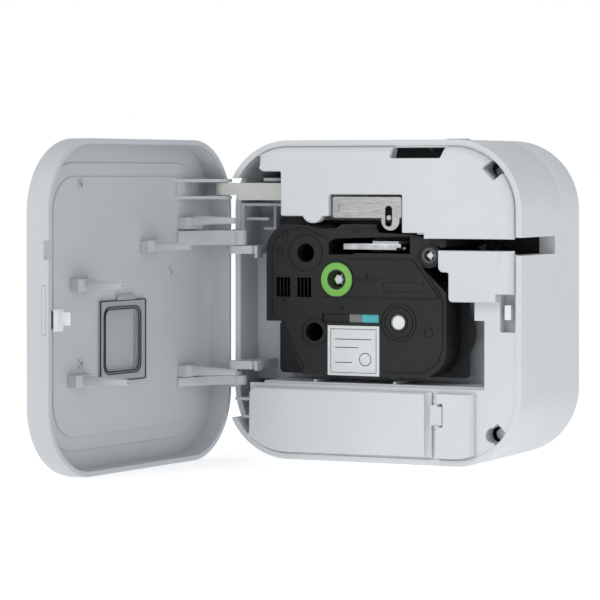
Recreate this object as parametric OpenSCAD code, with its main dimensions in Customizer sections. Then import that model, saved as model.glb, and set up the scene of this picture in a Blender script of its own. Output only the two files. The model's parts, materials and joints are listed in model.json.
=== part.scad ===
// Cube-shaped label maker with its front door swung open and a tape cassette loaded.
// Millimetres. X runs left to right, Y from the front to the back, Z up.
// The parts are drawn with the body's lower left front corner at the origin, then
// shifted so that the row's origin is the middle of the flat underside.

/* [Body] */
// Width of the body across the front
body_w = 133; // [128:1:160]
// Height of the body, underside to top
body_h = 133; // [130:1:160]
// Depth of the body from the front rim to the back face
body_d = 71; // [70:1:90]
// Radius of the four long corners
corner_r = 29; // [27:0.5:30]
// Wall thickness of the two outer shells
wall = 2.4; // [1.8:0.1:2.6]
// Depth at which the front and rear shells meet
seam_y = 46; // [45.5:0.5:50]
// Radius along the edge of the back face
back_r = 2.5; // [1:0.25:4]

/* [Door] */
// Thickness of the door, outer face to rim
door_t = 12; // [11.5:0.25:16]
// Wall thickness around the door's edge
door_wall = 2.2; // [1.8:0.1:2.4]
// How far the door stands open
door_open = 95.5; // [85:0.5:100]
// Sideways place of the hinge axis from the body's left face
hinge_x = 3; // [3:0.1:3.4]
// Depth of the hinge axis behind the front rim
hinge_y = 3.6; // [3.5:0.1:4]
// Radius of the two hinge pins
hinge_pin_r = 1.4; // [1:0.1:1.6]
// Length of the longest pusher post beyond the door's rim
post_reach = 15.8; // [12:0.1:15.8]

/* [Cassette] */
// Width of the cassette's upper case
case_w = 81.3; // [79:0.1:81.5]
// Depth at which the cassette's top face sits
case_top_y = 1; // [0.8:0.1:1.5]
// Thickness of the whole cassette
case_t = 44; // [43.6:0.1:44.5]
// Wall thickness of the cassette halves
case_wall = 1.5; // [1:0.1:1.6]
// Radius of the wound label tape
tape_roll_r = 16; // [10:0.5:16.5]

/* [Mechanism] */
// Radius of the rubber platen roller
platen_r = 3.2; // [2.5:0.1:3.3]
// Travel of the roller holder when the door closes
platen_travel = 2.2; // [1:0.1:2.3]
// Tooth module of the drive gears
gear_module = 0.8; // [0.75:0.01:0.82]
// Radius of the drive motor's can
motor_r = 10; // [8:0.5:10.5]
// Height of the tape exit slot
slot_h = 7.3; // [6.6:0.1:7.6]

/* [Fits] */
// Gap between pieces that move past each other
gap = 0.3; // [0.25:0.05:0.4]
// Radial clearance of a running pin in its bore
pin_clear = 0.05; // [0.02:0.01:0.1]

/* [Hidden] */
$fn = 72;
e = 1;
panel_y = 0.6;
panel_t = 2;
panel_back = panel_y + panel_t;
deck_out = 4;
shelf_y = 26;
bay_right = 118.4;
shelf_t = 1.4;
floor_y = case_top_y + case_t + 1;
floor_t = 1.4;
rear_in = body_d - wall;
slot_z = 86;
slot_depth = 39.5;
battery_top = 30.6;
flange_y = 16.2;
flange_t = 1.6;
case_bottom_y = case_top_y + case_t;
case_x = 18.7;
case_right = case_x + case_w;
door_floor = 8.5;
ledge_y = 9.05;
ring_y = 9.6;
ring_in = 9.5;
ledge_in = 15;
take_up_x = 50.8;
take_up_z = 75.2;
drive_x = 92.4;
drive_z = 85.6;
supply_x = 36.8;
supply_z = 86.1;
film_x = 40.8;
film_z = 53.3;
roll_x = 78.6;
roll_z = 58;
spool_low = case_bottom_y - case_wall - 0.5;
spool_high = case_top_y + case_wall + 0.5;
platen_x = 75.6;
platen_z = 101;
gear_y = floor_y + floor_t + 1.2;
gear_t = 3;
take_up_teeth = 20;
drive_teeth = 24;
idler_teeth = 32;
pinion_teeth = 12;
take_up_r = gear_module * take_up_teeth / 2;
drive_r = gear_module * drive_teeth / 2;
idler_r = gear_module * idler_teeth / 2;
pinion_r = gear_module * pinion_teeth / 2;
span_x = drive_x - take_up_x;
span_z = drive_z - take_up_z;
span = sqrt(span_x * span_x + span_z * span_z);
reach_a = take_up_r + idler_r;
reach_b = drive_r + idler_r;
along = (span * span + reach_a * reach_a - reach_b * reach_b) / (2 * span);
aside = sqrt(max(reach_a * reach_a - along * along, 0));
idler_x = take_up_x + (along * span_x + aside * span_z) / span;
idler_z = take_up_z + (along * span_z - aside * span_x) / span;
pinion_angle = 97;
motor_x = idler_x + (idler_r + pinion_r) * cos(pinion_angle);
motor_z = idler_z + (idler_r + pinion_r) * sin(pinion_angle);
link_door_x = 8.4;
link_door_y = 0.6;

// ---- placing helpers ----

// Moves a part from the drawing corner to the row frame.
module place() {
    translate([-body_w / 2, -body_d / 2, 0]) children();
}

// Places a door part, drawn with the door shut, at its open angle.
module on_door() {
    place() translate([hinge_x, hinge_y, 0]) rotate([0, 0, -door_open])
        translate([-hinge_x, -hinge_y, 0]) children();
}

// Extrudes a front-view outline (x, z) from depth y0 to depth y1.
module slab(y0, y1) {
    translate([0, y1, 0]) rotate([90, 0, 0]) linear_extrude(y1 - y0) children();
}

// Extrudes a top-view outline (x, y) from height z0 to height z1.
module layer(z0, z1) {
    translate([0, 0, z0]) linear_extrude(z1 - z0) children();
}

// A block given by its two corners.
module block(low, high) {
    translate(low) cube(high - low);
}

// A round bar along Y.
module rod(x, z, r, y0, y1) {
    translate([x, y1, z]) rotate([90, 0, 0]) cylinder(r = r, h = y1 - y0);
}

// Rectangle with rounded corners given by its two corners.
module soft_rect(x0, z0, x1, z1, r) {
    translate([x0 + r, z0]) square([x1 - x0 - 2 * r, z1 - z0]);
    translate([x0, z0 + r]) square([x1 - x0, z1 - z0 - 2 * r]);
    for (x = [x0 + r, x1 - r], z = [z0 + r, z1 - r])
        translate([x, z]) circle(r);
}

// The body's front outline, moved inwards by inset.
module outline(inset) {
    soft_rect(inset, inset, body_w - inset, body_h - inset, corner_r - inset);
}

// Half profile of a soft block: straight side, one rounded far edge.
module soft_profile(r, depth, edge) {
    square([r, depth - edge]);
    square([r - edge, depth]);
    translate([r - edge, depth - edge]) circle(edge);
}

// A block with rounded corners whose far edge is rounded too; depth runs along +Y.
module soft_block(inset, depth, edge) {
    r = corner_r - inset;
    for (x = [corner_r, body_w - corner_r], z = [corner_r, body_h - corner_r])
        translate([x, 0, z]) rotate([-90, 0, 0]) rotate_extrude()
            intersection() {
                soft_profile(r, depth, edge);
                square([r, depth]);
            }
    for (side = [0, 1])
        translate([body_w / 2, 0, body_h / 2]) rotate([0, side * 180, 0])
            translate([body_w / 2 - corner_r, 0, -(body_h / 2 - corner_r)])
                linear_extrude(body_h - 2 * corner_r) soft_profile(r, depth, edge);
    for (side = [0, 1])
        translate([body_w / 2, 0, body_h / 2]) rotate([0, 90 + side * 180, 0])
            translate([body_h / 2 - corner_r, 0, -(body_w / 2 - corner_r)])
                linear_extrude(body_w - 2 * corner_r) soft_profile(r, depth, edge);
    block([corner_r - e, 0, corner_r - e], [body_w - corner_r + e, depth, body_h - corner_r + e]);
}

// ---- housing ----

screw_x = body_w - 11.7;
screw_z = [13.2, body_h - 13.2];
screw_r = 1.3;
boss_r = 3;
boss_y = 11;
button_x = 96;
button_y = 24;
button_r = 5;
light_x = 84;
light_r = 1;
jack_x = 25;
jack_z = 15;
usb_x = 44;
usb_z = 15;
notch_low = 16.4;
notch_high = body_h - 15.8;
foot_x = [38, body_w - 38];
foot_y = [12, body_d - 14];
foot_r = 5;
foot_t = 1.2;
guide_t = 1.3;
lining_x = body_w - 7;
latch_x0 = body_w - 9.4;
latch_x1 = body_w - 2.8;
latch_z0 = 55;
latch_z1 = 70.4;

// Front half of the housing: a sleeve, open at both ends, with a lined slot for the tape.
module front_shell() {
    color("white") place() difference() {
        union() {
            difference() {
                slab(0, seam_y) outline(0);
                slab(-e, seam_y + e) outline(wall);
            }
            block([lining_x, panel_back + 0.4, slot_z - guide_t],
                [body_w - wall + 0.2, slot_depth + guide_t, slot_z + slot_h + guide_t]);
        }
        block([lining_x - e, -e, slot_z], [body_w + e, slot_depth, slot_z + slot_h]);
        block([-e, -e, notch_low], [6, 9.4, notch_high]);
        translate([button_x, button_y, body_h - wall - e]) cylinder(r = button_r + gap, h = wall + 2 * e);
        translate([light_x, button_y, body_h - wall - e]) cylinder(r = light_r, h = wall + 2 * e);
        for (x = foot_x)
            translate([x, foot_y[0], -e]) cylinder(r = foot_r, h = foot_t + e);
    }
}

// Rear half of the housing with its back wall and the two screw bosses.
module rear_shell() {
    color("white") place() {
        difference() {
            soft_block(0, body_d, back_r);
            block([-e, -e, -e], [body_w + e, seam_y, body_h + e]);
            slab(seam_y - e, rear_in) outline(wall);
            rod(jack_x, jack_z, 4.2, rear_in - e, body_d + e);
            block([usb_x - 4.8, rear_in - e, usb_z - 2], [usb_x + 4.8, body_d + e, usb_z + 2]);
            for (x = foot_x)
                translate([x, foot_y[1], -e]) cylinder(r = foot_r, h = foot_t + e);
        }
        for (z = screw_z)
            difference() {
                rod(screw_x, z, boss_r, boss_y, rear_in);
                rod(screw_x, z, screw_r, boss_y - e, boss_y + 14);
            }
    }
}

// Square pocket turned on its corner, rounded on the side towards the middle.
module diamond(x, z, grow) {
    translate([x, z]) rotate(45) square(7 + 2 * grow, center = true);
    translate([x - 2, z]) circle(3.1 + grow);
}

pocket_x = body_w - 10.6;
pocket_wall = 0.8;

// Height of a screw pocket: the upper one sits a little further into its corner.
function pocket_z(z) = z > body_h / 2 ? z + 1.4 : z;

// Slanted opening in the top of the deck and its cover.
module top_opening() {
    polygon([[77, 125.4], [99, 125.4], [101, 129.8], [77.8, 129.8]]);
}

// Deck behind the front rim: bay mouth, battery mouth, latch pocket, screw pockets.
module front_panel() {
    color("white") place() {
        difference() {
            slab(panel_y, panel_back) outline(wall);
            slab(-e, panel_back + e) {
                translate([-e, battery_top + 0.9]) square([112.5 + e, 66.5 - battery_top]);
                translate([-e, 60]) square([body_w / 2, 66.5]);
                translate([-e, 60]) square([16, body_h]);
                top_opening();
                translate([110, battery_top + 0.9]) square([6.8, 59.5 - battery_top - 0.9]);
                translate([-e, 2]) square([11.4 + e, battery_top]);
                soft_rect(22, 4.6, 92, battery_top - 1.2, 2);
                translate([60, 90]) square([body_w, 4.2]);
                translate([60, slot_z + 0.4]) square([body_w, slot_h - 0.8]);
                translate([60, 66.5]) square([45.5, 22]);
                translate([60, 90]) square([27.4, 24]);
                soft_rect(latch_x0, latch_z0, latch_x1, latch_z1, 0.6);
                for (z = screw_z) {
                    diamond(pocket_x, pocket_z(z), 0);
                    translate([screw_x, z]) circle(3);
                }
            }
        }
        difference() {
            block([latch_x0 - 1, panel_back, latch_z0 - 1], [latch_x1 + 0.2, 8, latch_z1 + 1]);
            block([latch_x0, panel_back - e, latch_z0], [latch_x1, 7, latch_z1]);
        }
        slab(panel_back, boss_y - 2.4) intersection() {
            outline(wall + 0.2);
            for (z = screw_z)
                difference() {
                    diamond(pocket_x, pocket_z(z), pocket_wall);
                    diamond(pocket_x, pocket_z(z), 0);
                    translate([screw_x, z]) circle(3);
                }
        }
    }
}

// Raised cover over the roller holder, the link and the top of the cutter.
module upper_cover() {
    face = -deck_out;
    edge = 3;
    color("white") place() difference() {
        union() {
            intersection() {
                slab(face + 2, panel_y) outline(edge);
                slab(face, panel_y) cover_area();
            }
            intersection() {
                slab(face + 0.8, face + 2) outline(edge + 1);
                slab(face, panel_y) cover_area();
            }
            intersection() {
                slab(face, face + 0.8) outline(edge + 2.4);
                slab(face, panel_y) cover_area();
            }
        }
        intersection() {
            slab(face + 1.8, panel_y + e) outline(edge + 2.4);
            slab(face + 1.8, panel_y + e) cover_hollow();
        }
        slab(face - e, panel_y + e) {
            translate([49.5, 90]) square([32.8, 20.5]);
            top_opening();
            polygon([[77.8, 129.7], [101, 129.7], [101.8, 131.5], [78.1, 131.5]]);
            diamond(pocket_x, pocket_z(screw_z[1]), 0);
        }
        slab(face - e, face + 1) soft_rect(112.5, 118, 117.5, 128, 2.2);
    }
}

// Front outline of the raised upper cover.
module cover_area() {
    difference() {
        union() {
            translate([27.5, 101.5]) square([body_w, body_h]);
            soft_rect(17, 120, 40, 129.5, 2.4);
            soft_rect(37, 98.6, 47, 110, 4.9);
            translate([80, 94.5]) square([body_w, 20]);
            translate([92, 92.6]) square([body_w, 20]);
        }
        translate([27.5 - e, 129.5]) square([2 + e, 10]);
    }
}

// Space under the upper cover, left open on the side where the link slides in.
module cover_hollow() {
    translate([20, 122]) square([5, 5.5]);
    translate([20, 103.3]) square([28, 23]);
    translate([47.8, 112.2]) square([27, 14]);
    translate([84, 96.4]) square([30, 19]);
    translate([104, 96.4]) square([20, 18]);
}

// Raised cover over the lower half of the cutter, beside the cassette.
module cutter_cover() {
    face = -deck_out;
    edge = 3;
    color("white") place() difference() {
        for (step = [[face, face + 0.8, 2.4], [face + 0.8, face + 2, 1], [face + 2, panel_y, 0]])
            intersection() {
                slab(step[0], step[1]) outline(edge + step[2]);
                slab(step[0] - e, step[1] + e) {
                    soft_rect(98, 79, 118, slot_z + 1.9, 3);
                    soft_rect(102.7, 67, 118, slot_z + 1.9, 1.6);
                    translate([112, 67]) square([latch_x0 - 112.4, slot_z - 65.1]);
                    translate([112, latch_z1]) square([30, slot_z + 1.9 - latch_z1]);
                }
            }
        slab(face + 1.8, panel_y + e) {
            translate([100, 80.8]) square([25, 5.2]);
            translate([104.6, 68.8]) square([17, 14]);
        }
    }
}

// Shelf and tub that hold the cassette.
module cassette_bay() {
    tub = [[20.9, 36.4], [case_right + gap, 99.4]];
    color("gainsboro") place() {
        difference() {
            union() {
                slab(shelf_y, shelf_y + shelf_t) intersection() {
                    outline(wall);
                    union() {
                        translate([0, battery_top + 0.6]) square([102.9, body_h - battery_top - 20]);
                        translate([0, battery_top + 0.6]) square([bay_right, 36]);
                    }
                }
                block([tub[0][0] - 1.2, shelf_y + 0.2, tub[0][1] - 1.2],
                    [tub[1][0] + 1.2, floor_y + floor_t, tub[1][1] + 1.2]);
            }
            block([tub[0][0], shelf_y - e, tub[0][1]], [tub[1][0], floor_y, tub[1][1]]);
            rod(take_up_x, take_up_z, 2.6 + pin_clear, floor_y - e, floor_y + floor_t + e);
            rod(drive_x, drive_z, 2 + pin_clear, floor_y - e, floor_y + floor_t + e);
            slab(shelf_y - e, floor_y - e) {
                translate([99, 84]) square([10, 11]);
                translate([70, 94.8]) square([11.2, 13.8]);
            }
            slab(shelf_y - e, shelf_y + shelf_t + e) {
                translate([52.4, 102]) square([32.2, 6.6]);
                translate([86.4, 104.4]) square([20, 12]);
            }
        }
        for (x = [39.5, 75.5])
            block([x, 3.2, battery_top + 0.6], [x + 1.2, shelf_y, 33.4]);
        block([17, panel_back, battery_top + 0.6], [bay_right, shelf_y, battery_top + 1.8]);
        block([bay_right - 1.2, panel_back, battery_top + 1.8], [bay_right, shelf_y, battery_top + 36.6]);
    }
}

// Tray for the battery pack under the bay.
module battery_bay() {
    color("gainsboro") place() difference() {
        block([22 - 1.2, panel_back, 4.6 - 1.2], [92 + 1.2, 45, battery_top - 0.2]);
        block([22, panel_back - e, 4.6], [92, 43.8, battery_top - 1.4]);
    }
}

// Lug that carries a hinge pin: a plate that reaches forward from the bay shelf.
module hinge_lug(z0, z1) {
    difference() {
        layer(z0, z1) {
            translate([hinge_x, hinge_y]) circle(3);
            polygon([[hinge_x, hinge_y - 3], [12, hinge_y - 3], [12, shelf_y],
                [wall, shelf_y], [wall, 10], [hinge_x, hinge_y + 3]]);
        }
        translate([hinge_x, hinge_y, z0 - e]) cylinder(r = hinge_pin_r, h = z1 - z0 + 2 * e);
    }
}

// Shelves and ribs round the upper hinge lug, under the link.
module upper_bracket() {
    hinge_lug(85.4, 88.8);
    block([wall, 10, 88.8], [4, shelf_y, 105.4]);
    block([wall, 10, 105.4], [27.3, shelf_y, 106.6]);
    block([wall + 1.6, 12, 99.4], [14.4, shelf_y, 100.6]);
    block([14.4, 17, 96.4], [15.6, shelf_y, 105.4]);
    block([10, 17, 95.2], [15.6, shelf_y, 96.4]);
    block([12, 3.4, 83.6], [13.2, 9, 88.8]);
    block([14, 8, 115.9], [27.3, shelf_y, 117.3]);
}

// Lower hinge lug and the ribs beside the battery cover.
module lower_bracket() {
    hinge_lug(36.9, 40.2);
    block([12, 3.4, 36.1], [13.2, 9, 40.2]);
    block([wall + 0.6, 3, 23.6], [11, shelf_y, 24.8]);
    block([6.6, 3, 16.2], [11, shelf_y, 17.4]);
    block([11, panel_back, 13], [12.2, shelf_y, battery_top]);
}

// The two hinge brackets inside the left wall.
module hinge_brackets() {
    color("gainsboro") place() {
        upper_bracket();
        lower_bracket();
    }
}

// Two steel pins, pressed into the lugs.
module hinge_pins() {
    color("silver") place() {
        for (span_z = [[29.4, 40.2], [85.4, 95.6]])
            translate([hinge_x, hinge_y, span_z[0]]) cylinder(r = hinge_pin_r, h = span_z[1] - span_z[0]);
    }
}

cover_top = 30;
cover_right = 94.4;

// Fixed raised block that the battery cover's latch hooks into.
module battery_latch_block() {
    color("white") place() difference() {
        for (step = [[-3, -2, 5], [-2, -0.8, 2], [-0.8, panel_y, 0]])
            intersection() {
                slab(step[0], step[1]) outline(3);
                block([cover_right + 2, step[0], 2], [113 - step[2], step[1], cover_top]);
            }
        block([cover_right, -e - 3, 16], [99.8, -0.8, 25.5]);
    }
}

// Rechargeable pack.
module battery_pack() {
    color("dimgray") place() block([24, 6, 6.4], [90, 42, 27.4]);
}

// Three brass contact strips between the pack and the end of its tray.
module battery_contacts() {
    color("gold") place() for (x = [32, 40, 48])
        block([x, 42, 12], [x + 3, 43.8, 22]);
}

head_low = 87.6;
head_left = 53;

// Aluminium plate that carries the print head through the cassette.
module head_heatsink() {
    color("silver") place() difference() {
        block([head_left, 3.2, head_low], [head_left + 26, floor_y, head_low + 2.6]);
        block([head_left + 24, 3.2 - e, head_low - e], [head_left + 27, 8, head_low + 1]);
    }
}

// Ceramic print head strip on the plate.
module thermal_head() {
    color("lightgray") place()
        block([head_left + 13, 4, head_low + 2.6], [head_left + 24.6, floor_y - 3, head_low + 3.6]);
}

cut_x = 106.2;
blade_t = 0.8;
guide_left = case_right + 1.8;

// Black channel that leads the tape from the cassette to the slot.
module tape_guide() {
    right = lining_x - gap;
    color("black") place() difference() {
        union() {
            block([guide_left, 2.9, slot_z - guide_t], [right, slot_depth + 2, slot_z]);
            block([guide_left, 2.9, slot_z + slot_h], [right, slot_depth + 2, slot_z + slot_h + guide_t]);
            block([guide_left, slot_depth + 0.8, slot_z], [right, slot_depth + 2, slot_z + slot_h]);
        }
        block([cut_x - 1, 2, slot_z - 2 * e], [cut_x + 3.2, slot_depth + 3, slot_z + slot_h + 2 * e]);
    }
}

// Lower blade of the cutter.
module fixed_blade() {
    color("silver") place()
        block([cut_x, 4, slot_z - 7], [cut_x + blade_t, slot_depth + 1, slot_z + 0.2]);
}

// Upper blade, which drops across the slot.
module cutter_blade() {
    x = cut_x + blade_t + gap;
    color("silver") place() difference() {
        block([x, 4, slot_z + slot_h + 0.1], [x + blade_t, slot_depth + 1, slot_z + slot_h + 14]);
        for (y = [12, 32])
            translate([x - e, y, slot_z + slot_h + 9]) rotate([0, 90, 0]) cylinder(r = 2, h = blade_t + 2 * e);
    }
}

// Small motor above the cutter.
module cutter_motor() {
    color("silver") place() {
        rod(94, 112, 7, 14, 36);
        rod(94, 112, 1, 36, 42);
    }
}

// Motor behind the bay that drives the tape.
module drive_motor() {
    color("silver") place() {
        rod(motor_x, motor_z, motor_r, gear_y + gear_t + 1, rear_in - 2.6);
        rod(motor_x, motor_z, motor_r * 0.35, gear_y + gear_t + 0.4, gear_y + gear_t + 1);
        rod(motor_x, motor_z, motor_r * 0.3, rear_in - 2.6, rear_in - 1.4);
    }
}

// Outline of a spur gear with one tooth centred on the given angle.
module gear_outline(teeth, angle) {
    pitch_r = gear_module * teeth / 2;
    root_r = pitch_r - 1.15 * gear_module;
    tip_r = pitch_r + 0.75 * gear_module;
    step = 360 / teeth;
    circle(root_r);
    for (i = [0 : teeth - 1])
        rotate(angle + i * step)
            polygon([
                [root_r - 0.4, -0.28 * step * root_r * PI / 180],
                [tip_r, -0.1 * step * tip_r * PI / 180],
                [tip_r, 0.1 * step * tip_r * PI / 180],
                [root_r - 0.4, 0.28 * step * root_r * PI / 180]]);
}

// Angle of a tooth on the second gear so that it meshes with the first.
function meshed(angle, teeth, toward, next_teeth) =
    toward + 180 - (180 - (toward - angle) * teeth) / next_teeth;

take_up_angle = atan2(take_up_z - idler_z, take_up_x - idler_x);
drive_angle = atan2(drive_z - idler_z, drive_x - idler_x);

// Gear in the front view at its place, extruded through the gear layer.
module gear_at(x, z, teeth, angle) {
    slab(gear_y, gear_y + gear_t) translate([x, z]) gear_outline(teeth, angle);
}

// Pinion on the drive motor's shaft.
module motor_pinion() {
    color("white") place()
        gear_at(motor_x, motor_z, pinion_teeth, meshed(0, idler_teeth, pinion_angle, pinion_teeth));
}

// Idler that carries the motor's turn to both spindles.
module idler_gear() {
    color("white") place() difference() {
        gear_at(idler_x, idler_z, idler_teeth, 0);
        rod(idler_x, idler_z, 1.5 + pin_clear, gear_y - e, gear_y + gear_t + e);
    }
}

// White splined spindle that winds up the used ribbon, with its gear.
module take_up_spindle() {
    color("white") place() {
        gear_at(take_up_x, take_up_z, take_up_teeth,
            meshed(0, idler_teeth, take_up_angle, take_up_teeth));
        rod(take_up_x, take_up_z, 2.6, floor_y - 3, gear_y);
        rod(take_up_x, take_up_z, 1.7, 3.6, floor_y - 3);
        slab(4.4, floor_y - 3) translate([take_up_x, take_up_z])
            for (turn = [0 : 60 : 300])
                rotate(turn) translate([1.4, -0.35]) square([0.9, 0.7]);
    }
}

// Spindle that drives the cassette's output roller, with its gear.
module drive_spindle() {
    color("white") place() {
        gear_at(drive_x, drive_z, drive_teeth, meshed(0, idler_teeth, drive_angle, drive_teeth));
        rod(drive_x, drive_z, 2, floor_y - 3, gear_y);
        rod(drive_x, drive_z, 1.2, 2.4, floor_y - 3);
        slab(3, floor_y - 3) translate([drive_x, drive_z])
            for (turn = [0, 90])
                rotate(turn) square([3.6, 0.9], center = true);
    }
}

board_y = 60;
board_t = 1.6;

// Main circuit board.
module main_board() {
    color("green") place() block([34, board_y, 9], [118, board_y + board_t, 72]);
}

// Chips, a shield can and connectors on the board.
module board_chips() {
    color("black") place() {
        block([48, board_y - 1.4, 40], [62, board_y, 54]);
        block([74, board_y - 1, 28], [82, board_y, 36]);
        block([92, board_y - 2.4, 46], [110, board_y, 62]);
        block([40, board_y - 5, 62], [54, board_y, 67]);
        rod(100, 24, 4, board_y - 8, board_y);
        rod(110, 30, 4, board_y - 8, board_y);
    }
}

// Round mains-adapter inlet in the back wall.
module dc_jack() {
    color("black") place() difference() {
        block([jack_x - 6, 56, jack_z - 6], [jack_x + 6, rear_in, jack_z + 6]);
        difference() {
            rod(jack_x, jack_z, 3.2, 59, rear_in + e);
            rod(jack_x, jack_z, 1, 59 - e, rear_in - 1);
        }
    }
}

// Data port in the back wall.
module usb_port() {
    color("silver") place() difference() {
        block([usb_x - 4.5, board_y + board_t, usb_z - 1.7], [usb_x + 4.5, body_d - 0.3, usb_z + 1.7]);
        block([usb_x - 4, board_y + board_t + 2, usb_z - 1.2], [usb_x + 4, body_d + e, usb_z + 1.2]);
    }
}

// Reader that tells the cassette's width, behind the bay floor.
module tape_sensor() {
    color("black") place()
        block([24, floor_y + floor_t, 66], [38, floor_y + floor_t + 2.6, 76]);
}

// Two screws at the bottom of the square pockets.
module case_screws() {
    color("silver") place() for (z = screw_z) {
        rod(screw_x, z, 2.4, boss_y - 2.1, boss_y);
        rod(screw_x, z, screw_r, boss_y, boss_y + 14);
    }
}

// Four rubber pads let into the underside.
module foot_pads() {
    color("dimgray") place() for (x = foot_x, y = foot_y)
        translate([x, y, 0]) cylinder(r = foot_r, h = foot_t);
}

// Round power button in the top.
module power_button() {
    under = body_h - wall - 0.4;
    color("lightgray") place() {
        translate([button_x, button_y, under]) cylinder(r = button_r, h = wall + 1);
        translate([button_x, button_y, under - 1.2]) cylinder(r = button_r + 1.4, h = 1.2);
        translate([button_x, button_y, under - 6]) cylinder(r = 1.6, h = 4.8);
    }
}

// Small light beside the button.
module status_light() {
    color("lightgreen") place()
        translate([light_x, button_y, body_h - wall - 2]) cylinder(r = light_r, h = wall + 2);
}

catch_x = body_w - 7.7;

// Sprung white catch in the latch pocket.
module latch_catch() {
    color("white") place() block([catch_x, 1, 60], [catch_x + 2.8, 6.6, 66]);
}

// Removable battery cover with a finger scoop at its right end.
module battery_cover() {
    color("white") place() {
        difference() {
            for (step = [[-3, -2.2, 0.8], [-2.2, 0.3, 0]])
                intersection() {
                    slab(step[0], step[1]) outline(3.3 + step[2]);
                    slab(step[0], step[1])
                        soft_rect(12 + step[2], -10, cover_right, cover_top - step[2], 4);
                }
            translate([cover_right - 0.4, -4.6, 3]) cylinder(r = 3.4, h = cover_top - 4);
        }
        difference() {
            block([24, 0.3, 7], [90, 4, 27]);
            block([25.4, 0.3 - e, 8.4], [88.6, 4 + e, 25.6]);
        }
    }
}

// Spring tab at the end of the battery cover.
module cover_latch() {
    color("white") place() difference() {
        block([cover_right, -2.6, 16.6], [99.4, -1.2, 24.9]);
        block([97.6, -3, 24.3], [100, -1, 26]);
    }
}

// ---- roller holder ----

// Black frame that carries the platen roller.
module roller_holder() {
    color("black") place() {
        block([53, -0.6, 102], [70, 3, 107]);
        block([53, 3, 105.2], [84, floor_y - 1.6, 107.7]);
        for (y = [3, floor_y - 3])
            difference() {
                slab(y, y + 1.4) {
                    translate([70.6, platen_z]) square([10, 4.2]);
                    translate([platen_x, platen_z]) circle(2.4);
                }
                rod(platen_x, platen_z, 1 + pin_clear, y - e, y + 1.4 + e);
            }
    }
}

// Bright steel angle on the holder, slotted for the roller's shaft.
module release_bracket() {
    color("silver") place() difference() {
        slab(-1.8, -0.6) {
            soft_rect(50.4, 100.8, 81.4, 109.6, 1);
            soft_rect(72.3, 95.8, 80.4, 106, 4);
        }
        slab(-3, 0) soft_rect(74.1, 97.4, 77.1, 105.9, 1.45);
        block([53, -3, 103.8], [71.4, -1.3, 106.8]);
    }
}

// Rubber sleeve of the platen roller.
module platen_roller() {
    color("dimgray") place() difference() {
        rod(platen_x, platen_z, platen_r, 5.2, floor_y - 3.8);
        rod(platen_x, platen_z, 1, 5.2 - e, floor_y - 3.8 + e);
    }
}

// Steel shaft of the platen roller.
module platen_shaft() {
    color("silver") place() rod(platen_x, platen_z, 1, -1.4, floor_y - 1);
}

// ---- door ----

window = [59.2, 39, 84.5, 65];
frame_edge = 4.8;
grip = [-3.4, -1.7];
bosses = [[100, 115], [35, 78.5], [100, 44]];
posts = [[22.8, 99.6, 0, 1.2], [50.8, 89.4, 4, 0], [100.4, 75.2, 4, 0], [102, 37.4, 0, 0], [22.6, 36.8, 0, 0]];
post_foot = 4.1;

// Shallow door tray with a rounded outer edge and a raised floor.
module door_shell() {
    color("white") on_door() difference() {
        translate([0, -gap, 0]) mirror([0, 1, 0]) soft_block(0, door_t - gap, 3);
        slab(-ring_y, e) outline(door_wall);
        slab(-door_t - e, -door_floor + e)
            soft_rect(window[0], window[1], window[2], window[3], 3.4);
        block([body_w - 4, -2.6, slot_z], [body_w + e, e, slot_z + slot_h]);
        block([body_w - 0.8, grip[0], 57], [body_w + e, grip[1], 76]);
    }
    color("white") on_door() difference() {
        union() {
            slab(-ring_y, -ledge_y) outline(ring_in);
            slab(-ledge_y, -door_floor) outline(ledge_in);
            for (b = bosses)
                rod(b[0], b[1], 1.7, -door_floor, -door_floor + 0.9);
        }
        slab(-door_t - e, e) soft_rect(window[0], window[1], window[2], window[3], 3.4);
        for (b = bosses)
            rod(b[0], b[1], 0.9, -door_floor - 0.4, e);
    }
}

// Dark frame round the window, on the door's floor.
module window_frame() {
    color("black") on_door() difference() {
        union() {
            slab(-door_floor, -door_floor + 1) soft_rect(window[0] - frame_edge,
                window[1] - 3.2, window[2] + 3, window[3] + 3, 1);
            block([window[0] + 4, -door_floor, window[3] + 3], [window[0] + 16, -door_floor + 1.4, window[3] + 5.2]);
        }
        slab(-door_floor - e, e) soft_rect(window[0], window[1], window[2], window[3], 3.4);
    }
}

// Clear pane in the door.
module door_window() {
    color("lightblue") on_door() difference() {
        slab(-door_t, -door_floor) soft_rect(window[0], window[1], window[2], window[3], 3.4);
        slab(-door_floor - 1.2, -door_floor + e)
            soft_rect(window[0] + 1.2, window[1] + 1.2, window[2] - 1.2, window[3] - 1.2, 2.2);
    }
}

// Five tapered posts that press on the corners of the cassette.
module pusher_posts() {
    color("white") on_door() for (p = posts) {
        tip = post_reach - p[2];
        block([p[0] - 6.5, -door_floor, p[1] - p[3] - 2.4],
            [p[0] + 6.5, -door_floor + post_foot, p[1] - p[3] + 2.4]);
        difference() {
            translate([p[0], -door_floor + post_foot, p[1]]) rotate([-90, 0, 0])
                cylinder(r1 = 2.1, r2 = 1.2, h = tip + door_floor - post_foot);
            rod(p[0], p[1], 0.5, tip - 2, tip + e);
        }
    }
}

// Stepped floor line that the arms and ribs stand on, from the hinge side inwards.
floor_steps = [[ring_in, -ring_y], [ring_in, -ledge_y], [ledge_in, -ledge_y], [ledge_in, -door_floor]];

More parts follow.
